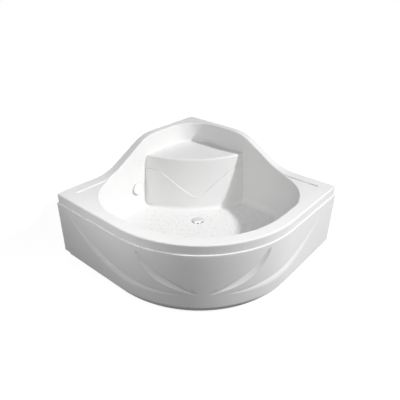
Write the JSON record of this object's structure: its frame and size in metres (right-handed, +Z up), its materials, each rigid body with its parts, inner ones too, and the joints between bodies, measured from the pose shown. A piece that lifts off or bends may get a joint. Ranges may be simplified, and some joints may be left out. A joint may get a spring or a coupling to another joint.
{
  "type": "quadrant shower base",
  "caption": "Deep white corner shower base with a bowed apron, climbing back rim, moulded corner seat, pop-up waste, overflow knob and adjustable feet.",
  "frame": {"origin": "middle of the overall box, on the bathroom floor", "axes": "+Z up, +Y towards the corner of the room, +X to the right of a person who faces that corner"},
  "size_m": [1.4184, 1.1862, 0.525],
  "materials": {
    "acrylic": "gloss white acrylic",
    "white_plastic": "gloss white",
    "chrome": "polished chrome",
    "rubber": "matt black",
    "board": "raw chipboard",
    "foot_plastic": "matt black",
    "pipe_plastic": "matt light grey",
    "brass": "turned brass",
    "zinc_steel": "zinc plated",
    "frame_steel": "grey primer"
  },
  "bodies": {
    "base": {"tray_shell": "acrylic", "apron_panel": "acrylic", "base_board": "board", "seat_board": "board", "main_rail": "frame_steel", "front_rail": "frame_steel", "tie_left": "frame_steel", "tie_right": "frame_steel", "side_post_left": "frame_steel", "side_post_right": "frame_steel", "back_post": "frame_steel", "seat_post_left": "frame_steel", "seat_post_right": "frame_steel", "apron_post_left": "frame_steel", "apron_post_right": "frame_steel", "apron_post_front_left": "frame_steel", "apron_post_front_right": "frame_steel", "rim_pads": "rubber", "apron_brackets": "frame_steel", "apron_screws": "zinc_steel", "board_screws": "zinc_steel", "foot_sockets": "frame_steel", "lock_nuts": "zinc_steel", "waste_flange": "chrome", "waste_upper_gasket": "rubber", "waste_lower_gasket": "rubber", "waste_body": "pipe_plastic", "trap_pot": "pipe_plastic", "trap_cap": "pipe_plastic", "trap_seal": "rubber", "outlet_nut": "pipe_plastic", "outlet_pipe": "pipe_plastic", "overflow_gasket": "rubber", "overflow_ring": "white_plastic", "overflow_body": "pipe_plastic", "overflow_pipe": "pipe_plastic"},
    "foot_left": {"foot_stud_left": "zinc_steel", "foot_pad_left": "foot_plastic"},
    "foot_right": {"foot_stud_right": "zinc_steel", "foot_pad_right": "foot_plastic"},
    "foot_front_left": {"foot_stud_front_left": "zinc_steel", "foot_pad_front_left": "foot_plastic"},
    "foot_front_right": {"foot_stud_front_right": "zinc_steel", "foot_pad_front_right": "foot_plastic"},
    "foot_seat_left": {"foot_stud_seat_left": "zinc_steel", "foot_pad_seat_left": "foot_plastic"},
    "foot_seat_right": {"foot_stud_seat_right": "zinc_steel", "foot_pad_seat_right": "foot_plastic"},
    "foot_back": {"foot_stud_back": "zinc_steel", "foot_pad_back": "foot_plastic"},
    "plug": {"plug_dome": "chrome", "plug_seal": "rubber", "plug_stem": "brass"},
    "knob": {"overflow_knob": "white_plastic", "overflow_spindle": "brass"}
  },
  "joints": [
    {"name": "foot_left_screw", "type": "slide", "parent": "base", "child": "foot_left", "axis": [0, 0, -1], "range_m": [0, 0.025]},
    {"name": "foot_right_screw", "type": "slide", "parent": "base", "child": "foot_right", "axis": [0, 0, -1], "range_m": [0, 0.025]},
    {"name": "foot_front_left_screw", "type": "slide", "parent": "base", "child": "foot_front_left", "axis": [0, 0, -1], "range_m": [0, 0.025]},
    {"name": "foot_front_right_screw", "type": "slide", "parent": "base", "child": "foot_front_right", "axis": [0, 0, -1], "range_m": [0, 0.025]},
    {"name": "foot_seat_left_screw", "type": "slide", "parent": "base", "child": "foot_seat_left", "axis": [0, 0, -1], "range_m": [0, 0.025]},
    {"name": "foot_seat_right_screw", "type": "slide", "parent": "base", "child": "foot_seat_right", "axis": [0, 0, -1], "range_m": [0, 0.025]},
    {"name": "foot_back_screw", "type": "slide", "parent": "base", "child": "foot_back", "axis": [0, 0, -1], "range_m": [0, 0.025]},
    {"name": "plug_lift", "type": "slide", "parent": "base", "child": "plug", "axis": [0, 0, 1], "range_m": [0, 0.01]},
    {"name": "knob_turn", "type": "hinge", "parent": "base", "child": "knob", "pos_m": [-0.33441, 0.17428, 0.238], "axis": [0.7058, -0.7058, 0.061], "range_deg": [0, 90]}
  ],
  "couplings": [
    {"joint": "knob_turn", "follows": "plug_lift", "rad_per_m": 157.08}
  ]
}
